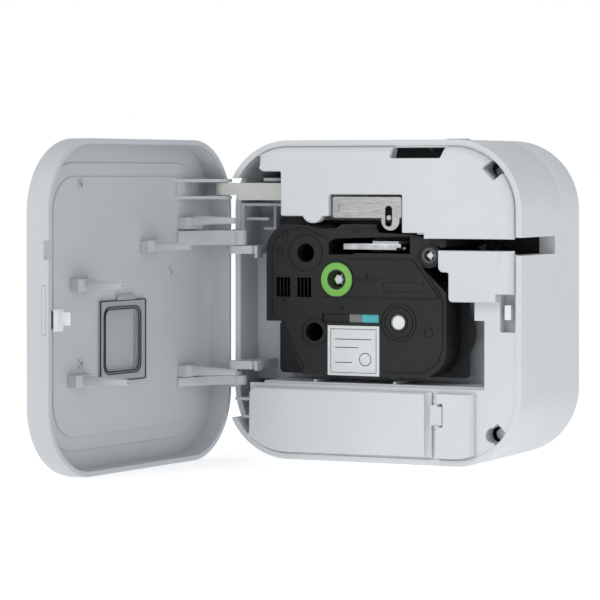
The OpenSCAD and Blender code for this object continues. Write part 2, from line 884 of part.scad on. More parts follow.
// Arm from the door's floor to a hinge knuckle, between two heights.
module hinge_arm(z0, z1) {
    difference() {
        layer(z0, z1) {
            polygon(concat([[door_wall, -ring_y]], floor_steps, [[30, -door_floor], [30, -7.4],
                [14, -1.6], [9, 1.8], [7.1, 6], [4.2, 6.5], [2.2, 3.6], [door_wall, -gap]]));
            translate([hinge_x, hinge_y]) circle(2.9);
            translate([4.2, 6.5]) circle(3);
        }
        translate([hinge_x, hinge_y, z0 - e]) cylinder(r = hinge_pin_r + pin_clear, h = z1 - z0 + 2 * e);
    }
}

module upper_hinge_arm() {
    color("white") on_door() hinge_arm(89.1, 95.3);
}

module lower_hinge_arm() {
    color("white") on_door() {
        hinge_arm(30.3, 34.1);
        for (span_z = [[29.2, 30.3], [34.1, 35.8]])
            difference() {
                translate([hinge_x, hinge_y, span_z[0]]) cylinder(r = 2.9, h = span_z[1] - span_z[0]);
                translate([hinge_x, hinge_y, span_z[0] - e])
                    cylinder(r = hinge_pin_r + pin_clear, h = span_z[1] - span_z[0] + 2 * e);
            }
    }
}

// Two ribs on the door that hold the link's pin, joined by a low web.
module link_clevis() {
    color("white") on_door() {
        for (span_z = [[108.4, 109.7], [115.5, 116.9]])
            difference() {
                layer(span_z[0], span_z[1]) {
                    polygon(concat([[5.9, -ring_y]], floor_steps, [[32, -door_floor], [26.5, -6.4],
                        [17, -1.2], [12.5, 2.6], [10.2, 3.7], [6.4, 3.9], [5.9, 1.5]]));
                    translate([link_door_x, link_door_y]) circle(2.8);
                }
                translate([link_door_x, link_door_y, span_z[0] - e]) cylinder(r = 1.2, h = 4);
            }
        block([24.5, -door_floor, 109.7], [31, -door_floor + 0.9, 115.5]);
    }
}

// Steel pin of the link.
module link_pin() {
    color("silver") on_door() translate([link_door_x, link_door_y, 108.4])
        cylinder(r = 1.2, h = 8.5);
}

hook_right = body_w - 4.4;

// White hook block on the door's latch side.
module latch_hook() {
    color("white") on_door() {
        block([hook_right - 6.5, -ledge_y, 58], [hook_right, -0.8, 66.7]);
        block([body_w - ring_in, -ring_y, 58], [hook_right, -ledge_y, 66.7]);
        block([hook_right - 4.5, -0.8, 60.4], [hook_right - 3.7, 4, 65.6]);
    }
}

// Dark pad between the hook and the door's rim.
module latch_pad() {
    color("black") on_door() block([hook_right, -ring_y, 59.2], [body_w - door_wall, -1, 66.1]);
}

// Grey finger strip let into the door's edge.
module door_grip() {
    color("gray") on_door() block([body_w - 0.8, grip[0], 57], [body_w - 0.1, grip[1], 76]);
}

// ---- link ----

link_low = 110.1;
link_high = 115.2;

// Ivory arm between the door and the mechanism under the upper cover.
module cover_link() {
    rel_x = link_door_x - hinge_x;
    rel_y = link_door_y - hinge_y;
    pivot_x = hinge_x + rel_x * cos(door_open) + rel_y * sin(door_open);
    pivot_y = hinge_y - rel_x * sin(door_open) + rel_y * cos(door_open);
    color("ivory") place() translate([pivot_x, pivot_y, 0]) difference() {
        union() {
            layer(link_low, link_high) {
                circle(3.1);
                polygon([[0, -3.1], [8.5, -0.6], [13, 1.5], [13, 7.9], [6.5, 5.5], [0, 3.1]]);
            }
            layer(108, link_high)
                polygon([[7.4, -0.9], [8.5, -0.6], [17, 2.9], [41, 3.1], [41, 7.9], [13, 7.9], [7.4, 5.8]]);
        }
        translate([0, 0, link_low - e]) cylinder(r = 1.2 + pin_clear, h = 8);
    }
}

// ---- cassette ----

// Outline of the cassette's top, with the forked tape outlet at its right.
module case_outline() {
    right = case_right;
    difference() {
        union() {
            polygon([[case_x + 17.1, 35.5], [right - 12, 35.5], [right, 47.5], [right, 70.5],
                [right - 8.5, 78.6], [right - 11, 81], [right - 11, 88], [right - 7, 91],
                [right - 2, 88.8], [right, 89.4], [right, 92], [right - 3, 92.3],
                [right - 8, 92.3], [right - 14, 94], [right - 30, 94.8], [right - 31, 98.2],
                [53.2, 98.2], [51, 96.6], [45, 96.2], [38, 97.6], [case_x + 11, 98.1],
                [case_x + 0.6, 90], [case_x, 88], [case_x, 57.5], [case_x + 7.3, 57.5]]);
            translate([right - 12, 47.5]) circle(12);
            translate([case_x + 11, 87.1]) circle(11);
            translate([drive_x, drive_z]) circle(5.2);
        }
        head_gap();
    }
}

// Opening that the print head passes through.
module head_gap() {
    polygon([[47.4, 85.6], [58, 85.6], [59, 86.2], [right_of_head(), 86.2], [right_of_head(), 93.4],
        [60, 92.6], [50, 92.2], [47.4, 90.6]]);
}

function right_of_head() = case_right - 16;

// Rooms inside the cassette for the rolls and spools.
module case_room() {
    translate([roll_x, roll_z]) circle(tape_roll_r + 1);
    translate([film_x, film_z]) circle(10.2);
    translate([supply_x, supply_z]) circle(9.4);
    translate([take_up_x, take_up_z]) circle(7.6);
    translate([drive_x, drive_z]) circle(4.4);
    translate([case_x + 4.6, 67]) square([17, 9.4]);
    translate([50, 50]) square([14, 20]);
}

// Upper half of the cassette.
module cassette_top() {
    top = case_top_y;
    roof = top + case_wall;
    color("black") place() difference() {
        slab(top, flange_y) case_outline();
        slab(roof, flange_y + e) case_room();
        rod(supply_x, supply_z, 3.9, top - e, roof + e);
        rod(film_x, film_z, 3.9, top - e, roof + e);
        rod(roll_x, roll_z, 3.2, top - e, roof + e);
        rod(take_up_x, take_up_z, 7.4, top - e, roof + e);
        rod(drive_x, drive_z, 3.25, top - e, roof + e);
        slab(top - e, roof + e) {
            translate([case_x + 4.6, 67.7]) square([6.4, 8.1]);
            translate([case_x + 14.2, 67.7]) square([6.4, 8.1]);
            translate([44.4, 57.4]) square([25.6, 3.7]);
        }
    }
}

// Lower half of the cassette: flange, walls, floor and the spool bosses.
module cassette_base() {
    floor_in = case_bottom_y - case_wall;
    color("black") place() {
        difference() {
            union() {
                slab(flange_y, case_bottom_y) intersection() {
                    union() {
                        case_outline();
                        soft_rect(case_x + 2.7, 37, case_right - 1.4, 60, 5);
                    }
                    translate([case_x + 2.7, 37]) square([case_w - 3, 61]);
                }
                slab(flange_y, flange_y + flange_t) difference() {
                    union() {
                        case_outline();
                        soft_rect(case_x - 0.9, 34.9, 42, 57, 2);
                        soft_rect(case_x - 0.9, 88, case_x + 16, 101, 2);
                        soft_rect(78, 34.9, case_right + 3.8, 46, 1.5);
                        soft_rect(84, 44, case_right + 3.8, 66, 2);
                        soft_rect(88, 60, case_right + 2, 78, 1);
                        translate([case_right - 6, 53]) circle(12.5);
                    }
                    head_gap();
                }
            }
            slab(flange_y - e, floor_in) case_room();
            rod(supply_x, supply_z, 3.9, floor_in - e, case_bottom_y + e);
            rod(film_x, film_z, 3.9, floor_in - e, case_bottom_y + e);
            rod(take_up_x, take_up_z, 3.2, floor_in - e, case_bottom_y + e);
            rod(drive_x, drive_z, 2.6, floor_in - e, case_bottom_y + e);
        }
        for (spool = [[supply_x, supply_z, 3.9], [film_x, film_z, 3.9], [roll_x, roll_z, 3.2]])
            difference() {
                rod(spool[0], spool[1], spool[2] + 0.6, case_top_y + case_wall, floor_in);
                rod(spool[0], spool[1], spool[2], case_top_y, floor_in + e);
            }
    }
}

// White core post in the middle of the tape roll.
module roll_core() {
    color("white") place() rod(roll_x, roll_z, 3.2, case_top_y + 0.3, case_bottom_y - case_wall);
}

// Plain sticker on the cassette's top.
module cassette_label() {
    color("white") place() block([47, case_top_y - 0.2, 35.6], [70.3, case_top_y, 56.2]);
}

// A spool: wound sleeve with a bore that runs on its boss.
module sleeve(x, z, outer, bore) {
    difference() {
        rod(x, z, outer, spool_high, spool_low);
        rod(x, z, bore, spool_high - e, spool_low + e);
    }
}

module tape_roll() {
    color("white") place() sleeve(roll_x, roll_z, tape_roll_r, 3.8 + pin_clear);
}

module film_spool() {
    color("lightblue") place() sleeve(film_x, film_z, 9.5, 4.5 + pin_clear);
}

module ribbon_spool() {
    color("black") place() sleeve(supply_x, supply_z, 8.8, 4.5 + pin_clear);
}

// Green take-up spool, its ring showing in the cassette's top.
module take_up_spool() {
    color("limegreen") place() difference() {
        union() {
            rod(take_up_x, take_up_z, 7.1, case_top_y + 0.1, case_top_y + 1.8);
            rod(take_up_x, take_up_z, 5.4, case_top_y + 1.8, spool_low);
        }
        rod(take_up_x, take_up_z, 4.2, case_top_y - e, spool_low + e);
    }
}

// Roller at the tape outlet.
module output_roller() {
    color("dimgray") place() difference() {
        union() {
            rod(drive_x, drive_z, 3.2, case_top_y + 0.2, case_top_y + case_wall + 0.4);
            rod(drive_x, drive_z, 4, case_top_y + case_wall + 0.4, spool_low);
        }
        rod(drive_x, drive_z, 2.3, case_top_y - e, spool_low + e);
    }
}

// ---- drawing ----

front_shell();
rear_shell();
front_panel();
upper_cover();
cutter_cover();
cassette_bay();
battery_bay();
hinge_brackets();
hinge_pins();
battery_latch_block();
battery_pack();
battery_contacts();
head_heatsink();
thermal_head();
tape_guide();
fixed_blade();
cutter_blade();
cutter_motor();
drive_motor();
motor_pinion();
idler_gear();
take_up_spindle();
drive_spindle();
main_board();
board_chips();
dc_jack();
usb_port();
tape_sensor();
case_screws();
foot_pads();
power_button();
status_light();
latch_catch();
battery_cover();
cover_latch();
roller_holder();
release_bracket();
platen_roller();
platen_shaft();
door_shell();
window_frame();
door_window();
pusher_posts();
upper_hinge_arm();
lower_hinge_arm();
link_clevis();
link_pin();
latch_hook();
latch_pad();
door_grip();
cover_link();
cassette_top();
cassette_base();
cassette_label();
roll_core();
tape_roll();
film_spool();
ribbon_spool();
take_up_spool();
output_roller();
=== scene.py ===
import json
import math

import bmesh
import bpy
from mathutils import Matrix, Vector


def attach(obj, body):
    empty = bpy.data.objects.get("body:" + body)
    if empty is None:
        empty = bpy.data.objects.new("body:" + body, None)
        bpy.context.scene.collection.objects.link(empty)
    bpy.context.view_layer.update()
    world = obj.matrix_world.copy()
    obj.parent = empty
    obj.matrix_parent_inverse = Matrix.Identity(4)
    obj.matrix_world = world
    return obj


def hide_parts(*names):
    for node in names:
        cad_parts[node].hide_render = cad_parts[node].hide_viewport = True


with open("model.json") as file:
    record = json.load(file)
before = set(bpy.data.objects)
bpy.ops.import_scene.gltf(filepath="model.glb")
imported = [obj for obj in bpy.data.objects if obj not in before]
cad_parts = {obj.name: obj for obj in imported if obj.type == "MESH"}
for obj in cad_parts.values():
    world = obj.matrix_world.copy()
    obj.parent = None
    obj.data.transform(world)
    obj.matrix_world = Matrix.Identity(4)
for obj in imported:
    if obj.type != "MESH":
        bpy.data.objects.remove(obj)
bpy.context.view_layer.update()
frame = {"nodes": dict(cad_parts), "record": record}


def plastic(name, dark, light, rough, grain, depth, gloss=0.4):
    # Moulded plastic: a slow drift of tone, a fine texture, uneven gloss.
    material = bpy.data.materials.new(name)
    material.use_nodes = True
    tree = material.node_tree
    shader = tree.nodes["Principled BSDF"]
    shader.inputs["Specular IOR Level"].default_value = gloss
    place = tree.nodes.new("ShaderNodeTexCoord")
    speck = tree.nodes.new("ShaderNodeTexNoise")
    speck.inputs["Scale"].default_value = grain
    speck.inputs["Detail"].default_value = 3
    tree.links.new(place.outputs["Object"], speck.inputs["Vector"])
    cloud = tree.nodes.new("ShaderNodeTexNoise")
    cloud.inputs["Scale"].default_value = 22
    cloud.inputs["Detail"].default_value = 2
    tree.links.new(place.outputs["Object"], cloud.inputs["Vector"])
    tone = tree.nodes.new("ShaderNodeValToRGB")
    tone.color_ramp.elements[0].position = 0.3
    tone.color_ramp.elements[1].position = 0.7
    tone.color_ramp.elements[0].color = (*dark, 1)
    tone.color_ramp.elements[1].color = (*light, 1)
    tree.links.new(cloud.outputs["Fac"], tone.inputs["Fac"])
    tree.links.new(tone.outputs["Color"], shader.inputs["Base Color"])
    matt = tree.nodes.new("ShaderNodeMapRange")
    matt.inputs["From Min"].default_value = 0.3
    matt.inputs["From Max"].default_value = 0.7
    matt.inputs["To Min"].default_value = rough - 0.06
    matt.inputs["To Max"].default_value = rough + 0.06
    tree.links.new(speck.outputs["Fac"], matt.inputs["Value"])
    tree.links.new(matt.outputs["Result"], shader.inputs["Roughness"])
    bump = tree.nodes.new("ShaderNodeBump")
    bump.inputs["Strength"].default_value = 0.4
    bump.inputs["Distance"].default_value = depth
    tree.links.new(speck.outputs["Fac"], bump.inputs["Height"])
    tree.links.new(bump.outputs["Normal"], shader.inputs["Normal"])
    return material


def finish_node(node, material):
    # Gives a carried-over CAD node its finish.
    shown = frame["nodes"][node]
    shown.data.materials.clear()
    shown.data.materials.append(material)


def body_of(node):
    # Name of the moving body that a CAD node belongs to.
    for body, nodes in frame["record"]["behaviour"]["bodies"].items():
        if node in nodes:
            return body


def add_piece(name, shape, material, body, smooth=35):
    # Turns a finished bmesh into a piece that rides on its body.
    # Flats stay flat; curved walls and rounded edges are shaded smooth.
    curved = [face.calc_area() < 0.0002 and any(
        0.005 < face.normal.angle(other.normal, 0) < math.radians(smooth)
        and other.calc_area() > 0.15 * face.calc_area()
        for edge in face.edges for other in edge.link_faces if other != face)
        for face in shape.faces]
    mesh = bpy.data.meshes.new(name)
    shape.to_mesh(mesh)
    shape.free()
    for one in material if isinstance(material, list) else [material]:
        mesh.materials.append(one)
    piece = bpy.data.objects.new(name, mesh)
    bpy.context.collection.objects.link(piece)
    mesh.set_sharp_from_angle(angle=math.radians(smooth))
    mesh.polygons.foreach_set("use_smooth", curved)
    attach(piece, body)
    return piece


def break_edges(node, name, width, material, steps=2):
    # The moulding as it leaves the tool: the CAD node with its outside edges rounded.
    shape = bmesh.new()
    shape.from_mesh(frame["nodes"][node].data)
    bmesh.ops.remove_doubles(shape, verts=shape.verts, dist=2e-6)
    bmesh.ops.dissolve_limit(shape, angle_limit=math.radians(0.6), verts=shape.verts,
                             edges=shape.edges, delimit={"NORMAL"})
    sharp = [edge for edge in shape.edges
             if len(edge.link_faces) == 2 and edge.calc_face_angle_signed(0) > math.radians(32)]
    bmesh.ops.bevel(shape, geom=sharp, offset=width, offset_type="OFFSET", segments=steps,
                    profile=0.5, affect="EDGES", material=-1, clamp_overlap=True)
    shape.normal_update()
    piece = add_piece(name, shape, material, body_of(node), 28)
    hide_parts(node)
    return piece


shell_white = plastic("shell_white", (0.635, 0.655, 0.668), (0.67, 0.69, 0.703), 0.5, 2400, 0.00004)
break_edges("front_shell", "front_shell_moulding", 0.0005, shell_white)
break_edges("rear_shell", "rear_shell_moulding", 0.0003, shell_white)

# Deck in the shells' own white; cassette bay, battery tray and hinge brackets: white
# mouldings inside the shells, a little greyer and smoother than the outside.
inner_white = plastic("inner_white", (0.6, 0.625, 0.65), (0.64, 0.665, 0.69), 0.42, 1500, 0.00002)
break_edges("front_panel", "deck_moulding", 0.00025, shell_white)
break_edges("cassette_bay", "cassette_bay_moulding", 0.0003, inner_white)
break_edges("battery_bay", "battery_tray_moulding", 0.0002, inner_white)
break_edges("hinge_brackets", "hinge_bracket_mouldings", 0.0002, inner_white)

# Upper cover and cutter cover: thin white ABS mouldings clipped over the deck,
# flat in front, with a broad round along the edge of the machine.
def at(x, y, z):
    # Drawing millimetres to metres in the shared frame.
    return Vector(((x - 66.5) / 1000, (y - 35.5) / 1000, z / 1000))


def on_door(x, y, z):
    # The same for the door, which is drawn shut and stands open.
    turn = math.radians(-95.5)
    dx, dy = x - 3, y - 3.6
    return at(3 + dx * math.cos(turn) - dy * math.sin(turn),
              3.6 + dx * math.sin(turn) + dy * math.cos(turn), z)


def soft_corners(corners):
    # Outline points with rounded corners; each carries the round of its front edge.
    path = []
    for index, (x, z, radius, edge) in enumerate(corners):
        here = Vector((x, z))
        before = Vector(corners[index - 1][:2]) - here
        after = Vector(corners[(index + 1) % len(corners)][:2]) - here
        last_edge = corners[index - 1][3]
        if radius < 0.05:
            path.append((x, z, edge))
            continue
        half = before.angle(after) / 2
        reach = min(radius / math.tan(half), 0.49 * before.length, 0.49 * after.length)
        radius = reach * math.tan(half)
        middle = here + (before.normalized() + after.normalized()).normalized() * radius / math.sin(half)
        start = here + before.normalized() * reach - middle
        end = here + after.normalized() * reach - middle
        steps = 5 if radius < 6 else 24
        sweep = start.angle_signed(end)
        for step in range(steps + 1):
            spoke = Matrix.Rotation(-sweep * step / steps, 2) @ start
            blend = edge if step == steps else (max if radius > 6 else min)(edge, last_edge)
            path.append((middle.x + spoke.x, middle.y + spoke.y, blend))
    return path


def inset(path, share, dip):
    # The outline moved inwards, each edge by its own amount.
    area = sum(a[0] * b[1] - b[0] * a[1] for a, b in zip(path, path[1:] + path[:1]))
    side = 1 if area > 0 else -1
    moved = []
    for index, (x, z, edge) in enumerate(path):
        px, pz, last_edge = path[index - 1]
        nx, nz, _ = path[(index + 1) % len(path)]
        one = Vector((x - px, z - pz)).normalized()
        two = Vector((nx - x, nz - z)).normalized()
        n_one, n_two = Vector((-one.y, one.x)) * side, Vector((-two.y, two.x)) * side
        a, b = (abs(last_edge) * (share if last_edge > 0 else dip),
                abs(edge) * (share if edge > 0 else dip))
        cross = one.x * two.y - one.y * two.x
        if abs(cross) < 0.2:
            step = (n_one + n_two).normalized() * (a + b) / 2
        else:
            step = (two * a - one * b) * (side / cross)
            limit = 1.5 * max(a, b, 1e-6)
            if step.length > limit:
                step = step.normalized() * limit
        moved.append((x + step.x, z + step.y))
    return moved


def soft_plate(name, corners, face, back, material, node, holes=(), place=at, wall=1.2,
               stands_for=True):
    # A shell moulding seen from the front: rounded front edge, straight sides, open back.
    shape = bmesh.new()
    toward = 1 if back > face else -1
    front_edges = []
    for ring_corners in [corners] + list(holes):
        path = soft_corners(ring_corners)
        rows = []
        levels = [(0.0, None)] + [(step / 6, step) for step in range(7)]
        for level, step in levels:
            angle = level * math.pi / 2
            if step is None:
                spots = [(x, z) for x, z, _ in path]
                depths = [back] * len(path)
            else:
                outward = 1 if ring_corners is corners else -1
                spots = inset(path, 1 - math.cos(angle), math.sin(angle))
                if outward < 0:
                    spots = [(2 * p[0] - q[0], 2 * p[1] - q[1]) for p, q in zip(path, spots)]
                drop = [min(abs(edge), 3.4) * ((1 - math.sin(angle)) if edge > 0
                                               else math.cos(angle)) for _, _, edge in path]
                depths = [face + toward * max(drop[index - 1], drop[index])
                          for index in range(len(path))]
            rows.append([shape.verts.new(place(x, y, z)) for (x, z), y in zip(spots, depths)])
        for low, high in zip(rows, rows[1:]):
            for index in range(len(low)):
                nxt = (index + 1) % len(low)
                shape.faces.new((low[index], low[nxt], high[nxt], high[index]))
        last = rows[-1]
        for index in range(len(last)):
            front_edges.append(shape.edges.get((last[index], last[(index + 1) % len(last)])))
    bmesh.ops.triangle_fill(shape, use_beauty=True, edges=front_edges)
    bmesh.ops.remove_doubles(shape, verts=shape.verts, dist=4e-6)
    bmesh.ops.recalc_face_normals(shape, faces=shape.faces)
    front = (place(0, face, 0) - place(0, back, 0)).normalized()
    flat = max(shape.faces, key=lambda one: abs(one.normal.dot(front)) * one.calc_area())
    if flat.normal.dot(front) < 0:
        bmesh.ops.reverse_faces(shape, faces=shape.faces)
    piece = add_piece(name, shape, material, body_of(node), 40)
    if wall:
        thick = piece.modifiers.new("wall", "SOLIDIFY")
        thick.thickness = wall / 1000
        thick.offset = -1
    if stands_for:
        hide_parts(node)
    return piece


tape_notch = [(77.8, 130, 0, 0.5), (77, 125.4, 0.5, 0.5), (99, 125.4, 0.5, 0.5), (101, 130, 0, 4)]
corner = [(104 + 26 * math.cos(math.radians(a)), 104 + 26 * math.sin(math.radians(a)), 0,
           4 if a > 43 else 4 + 2 * (35.4 - a) / 35.4)
          for a in (90, 84, 78, 72, 66, 60, 55.5, 51, 35.4, 30, 24, 18, 12, 6, 0)]
screw_pocket = [(117.5, 121.2, 0.5, 0.5), (122.4, 116.3, 0.5, 0.5)]
lobe = [(42 + 4.9 * math.cos(math.radians(a)), 103.5 + 4.9 * math.sin(math.radians(a)), 0, 0.8)
        for a in range(-24, -157, -12)]
rim = [(29 + 26 * math.cos(math.radians(a)), 104 + 26 * math.sin(math.radians(a)), 0, 4)
       for a in (117, 111, 105, 99, 93, 90)]
upper_outline = (rim
                 + tape_notch
                 + corner[:7] + [corner[7][:3] + (0.5,)] + screw_pocket + corner[8:]
                 + [(130, 92.6, 0, 0.3),
                    (92, 92.6, 0.3, 0.6), (92, 94.9, 0.3, 0.6), (82.3, 94.9, 0.6, 0.8),
                    (82.3, 110.5, 0.8, 0.8), (49.5, 110.5, 0.8, 0.8), (49.5, 101.5, 0.8, 0.8)]
                 + lobe + [(27.5, 101.5, 0.8, 0.8), (27.5, 120, 0.8, 0.8), (17.2, 120, 2.4, 2.4)])
soft_plate("upper_cover_moulding", upper_outline, -4, 0.6, shell_white, "upper_cover")
cutter_outline = [(98.2, 87.9, 0.6, 0.4), (130, 87.9, 0, 6), (130, 70.4, 0, 0.4),
                  (123.2, 70.4, 0.4, 0.4), (123.2, 67, 0.5, 0.8),
                  (102.7, 67, 1.6, 0.8), (102.7, 79, 0.8, 0.8), (98.2, 79, 2.6, 0.8)]
soft_plate("cutter_cover_moulding", cutter_outline, -4, 0.6, shell_white, "cutter_cover")

# Hinge pins, case screws and feet: plated steel pins and screws, soft rubber
# pads pressed into the underside.
def metal(name, dark, light, rough, run=(1, 1, 14)):
    # Bare metal with fine marks that run along one direction.
    material = bpy.data.materials.new(name)
    material.use_nodes = True
    tree = material.node_tree
    shader = tree.nodes["Principled BSDF"]
    shader.inputs["Metallic"].default_value = 1
    place = tree.nodes.new("ShaderNodeTexCoord")
    stretch = tree.nodes.new("ShaderNodeMapping")
    stretch.inputs["Scale"].default_value = run
    tree.links.new(place.outputs["Object"], stretch.inputs["Vector"])
    marks = tree.nodes.new("ShaderNodeTexNoise")
    marks.inputs["Scale"].default_value = 260
    marks.inputs["Detail"].default_value = 4
    tree.links.new(stretch.outputs["Vector"], marks.inputs["Vector"])
    tone = tree.nodes.new("ShaderNodeValToRGB")
    tone.color_ramp.elements[0].position = 0.35
    tone.color_ramp.elements[1].position = 0.68
    tone.color_ramp.elements[0].color = (*dark, 1)
    tone.color_ramp.elements[1].color = (*light, 1)
    tree.links.new(marks.outputs["Fac"], tone.inputs["Fac"])
    tree.links.new(tone.outputs["Color"], shader.inputs["Base Color"])
    wear = tree.nodes.new("ShaderNodeMapRange")
    wear.inputs["To Min"].default_value = rough - 0.08
    wear.inputs["To Max"].default_value = rough + 0.1
    tree.links.new(marks.outputs["Fac"], wear.inputs["Value"])
    tree.links.new(wear.outputs["Result"], shader.inputs["Roughness"])
    bump = tree.nodes.new("ShaderNodeBump")
    bump.inputs["Strength"].default_value = 0.25
    bump.inputs["Distance"].default_value = 0.00002
    tree.links.new(marks.outputs["Fac"], bump.inputs["Height"])
    tree.links.new(bump.outputs["Normal"], shader.inputs["Normal"])
    return material


steel = metal("steel", (0.42, 0.42, 0.41), (0.6, 0.59, 0.575), 0.32)
finish_node("hinge_pins", steel)
finish_node("case_screws", steel)
rubber = plastic("rubber_grey", (0.09, 0.092, 0.095), (0.13, 0.132, 0.135), 0.75, 1900, 0.00005, 0.25)
finish_node("foot_pads", rubber)
bright_white = plastic("bright_white", (0.8, 0.81, 0.81), (0.86, 0.87, 0.87), 0.3, 900, 0.00001, 0.5)
break_edges("latch_catch", "latch_catch_moulding", 0.0003, bright_white, 3)

# Battery: cells in a dark sleeve, brass contact strips, a lift-off cover with
# a finger scoop and the fixed block that its latch hooks under.
battery_sleeve = plastic("battery_sleeve", (0.035, 0.036, 0.04), (0.055, 0.056, 0.06), 0.45, 600, 0.00001)
finish_node("battery_pack", battery_sleeve)
brass = metal("brass", (0.55, 0.36, 0.12), (0.78, 0.56, 0.24), 0.3, (6, 1, 1))
finish_node("battery_contacts", brass)
lid_arc = [(29 + 25.7 * math.cos(math.radians(a)), 29 + 25.7 * math.sin(math.radians(a)), 0, 0.8)
           for a in range(270, 227, -6)]
lid_outline = ([(12.3, 30, 3.4, 0.8), (94.2, 30, 0, -2.4), (94.2, 3.4, 0, 0.8)]
               + lid_arc + [(12.2, 10.2, 0.4, 0.8)])
soft_plate("battery_cover_moulding", lid_outline, -3, 0.3, shell_white, "battery_cover")
finish_node("cover_latch", shell_white)
block_outline = [(96.6, 29.8, 0.5, 0.6), (112.9, 29.8, 0, 3.3), (112.9, 4.8, 0, 0.6),
                 (108.6, 3.6, 0, 0.6), (104, 3.3, 0, 0.6),
                 (96.6, 3.4, 0.5, 0.5), (96.6, 16, 0.2, 0.4), (99.8, 16, 0.4, 0.4),
                 (99.8, 25.5, 0.4, 0.4), (96.6, 25.5, 0.2, 0.5)]
soft_plate("battery_latch_block_moulding", block_outline, -3, 0.5, shell_white,
           "battery_latch_block")

# Print head: an extruded aluminium plate with a glazed ceramic strip on it.
aluminium = metal("aluminium", (0.5, 0.51, 0.52), (0.7, 0.71, 0.72), 0.36, (1, 12, 1))
break_edges("head_heatsink", "head_plate", 0.00025, aluminium)
ceramic = plastic("ceramic", (0.6, 0.61, 0.6), (0.68, 0.69, 0.68), 0.16, 500, 0.000005, 0.6)
finish_node("thermal_head", ceramic)

# Tape exit: two guide walls, a fixed and a moving steel blade, the cutter's
# motor under its cover.
black_plastic = plastic("black_plastic", (0.007, 0.0073, 0.0078), (0.012, 0.0123, 0.013), 0.46,
                        2100, 0.00005, 0.4)
break_edges("tape_guide", "tape_guide_mouldings", 0.0002, black_plastic)
blade_steel = metal("blade_steel", (0.5, 0.5, 0.5), (0.7, 0.7, 0.69), 0.22, (1, 1, 20))
finish_node("fixed_blade", blade_steel)
finish_node("cutter_blade", blade_steel)
finish_node("cutter_motor", steel)

# Drive: a can motor, its pinion, an idler and the two spindles that reach
# through the bay floor into the cassette.
nylon = plastic("white_nylon", (0.74, 0.75, 0.74), (0.82, 0.83, 0.82), 0.34, 700, 0.00001, 0.5)
finish_node("drive_motor", steel)
for gear in ("motor_pinion", "idler_gear", "take_up_spindle", "drive_spindle"):
    finish_node(gear, nylon)

# Electronics behind the bay: board, parts, inlets, the cassette reader, the
# power button and its light.
board_green = plastic("board_green", (0.012, 0.09, 0.035), (0.02, 0.13, 0.05), 0.35, 420, 0.00002, 0.5)
finish_node("main_board", board_green)
chip_black = plastic("chip_black", (0.018, 0.018, 0.019), (0.03, 0.03, 0.031), 0.55, 2600, 0.00002)
for part in ("board_chips", "dc_jack", "tape_sensor"):
    finish_node(part, chip_black)
finish_node("usb_port", steel)
button_grey = plastic("button_grey", (0.42, 0.44, 0.46), (0.5, 0.52, 0.54), 0.36, 1600, 0.00002)
break_edges("power_button", "power_button_cap", 0.0004, button_grey, 3)
light_green = plastic("light_green", (0.2, 0.6, 0.22), (0.3, 0.74, 0.32), 0.2, 300, 0.000005, 0.6)
finish_node("status_light", light_green)

# Roller holder: a nylon swing arm with the stamped steel release bracket on
# its front and the rubber platen roller on a steel shaft.
ivory = plastic("ivory_nylon", (0.52, 0.525, 0.49), (0.58, 0.585, 0.55), 0.4, 1100, 0.00002, 0.45)
dark_grey = plastic("dark_grey_plastic", (0.03, 0.031, 0.033), (0.045, 0.046, 0.05), 0.5, 1800, 0.00004)
break_edges("roller_holder", "roller_holder_moulding", 0.0002, dark_grey)
break_edges("release_bracket", "release_bracket_stamping", 0.00015, steel)
finish_node("platen_roller", rubber)
finish_node("platen_shaft", steel)

# Door: one white ABS shell hinged at the left, with moulded posts that press
# the cassette home, two hinge arms, the link's clevis and the latch hook.
# The door's white is toned darker than the shell's white: painted shade for the door's inside, which turns away
# from the key light and sits in a hollow.
door_white = plastic("door_white", (0.51, 0.531, 0.553), (0.545, 0.567, 0.589), 0.5, 2400, 0.00004)
break_edges("door_shell", "door_moulding", 0.0005, door_white)
break_edges("pusher_posts", "pusher_post_mouldings", 0.0003, door_white)
for arm in ("upper_hinge_arm", "lower_hinge_arm"):
    break_edges(arm, arm + "_moulding", 0.0003, door_white)
finish_node("link_clevis", door_white)
finish_node("link_pin", steel)
break_edges("latch_hook", "latch_hook_moulding", 0.0005, bright_white, 3)
break_edges("latch_pad", "latch_pad_moulding", 0.0003, black_plastic)
break_edges("door_grip", "door_grip_ledge", 0.0002, door_white)

# Window: a clear acrylic lens with a flange, welded behind the door, and the
# thin dark seal frame round it.
def bead(shape, points, width, low, high, place=at):
    # A raised line: a low trapezoid run along the points.
    rows = []
    closed = points[0] == points[-1]
    points = points[:-1] if closed else points
    for index, (x, z) in enumerate(points):
        last = points[index - 1] if index or closed else None
        nxt = points[(index + 1) % len(points)] if index + 1 < len(points) or closed else None
        run = Vector((0, 0))
        if last:
            run += (Vector((x, z)) - Vector(last)).normalized()
        if nxt:
            run += (Vector(nxt) - Vector((x, z))).normalized()
        run.normalize()
        side = Vector((-run.y, run.x)) * width / 2
        rows.append([shape.verts.new(place(x + side.x * k, y, z + side.y * k))
                     for k, y in ((-1, low), (-0.55, high), (0.55, high), (1, low))])
    pairs = list(zip(rows, rows[1:])) + ([(rows[-1], rows[0])] if closed else [])
    for one, two in pairs:
        for index in range(4):
            nxt = (index + 1) % 4
            shape.faces.new((one[index], one[nxt], two[nxt], two[index]))
    if not closed:
        shape.faces.new(rows[0])
        shape.faces.new(rows[-1][::-1])


def loop(x, z, radius, steps=40):
    # Points of a closed circle on the cassette's face.
    ring = [(x + radius * math.cos(2 * math.pi * step / steps),
             z + radius * math.sin(2 * math.pi * step / steps)) for step in range(steps)]
    return ring + ring[:1]


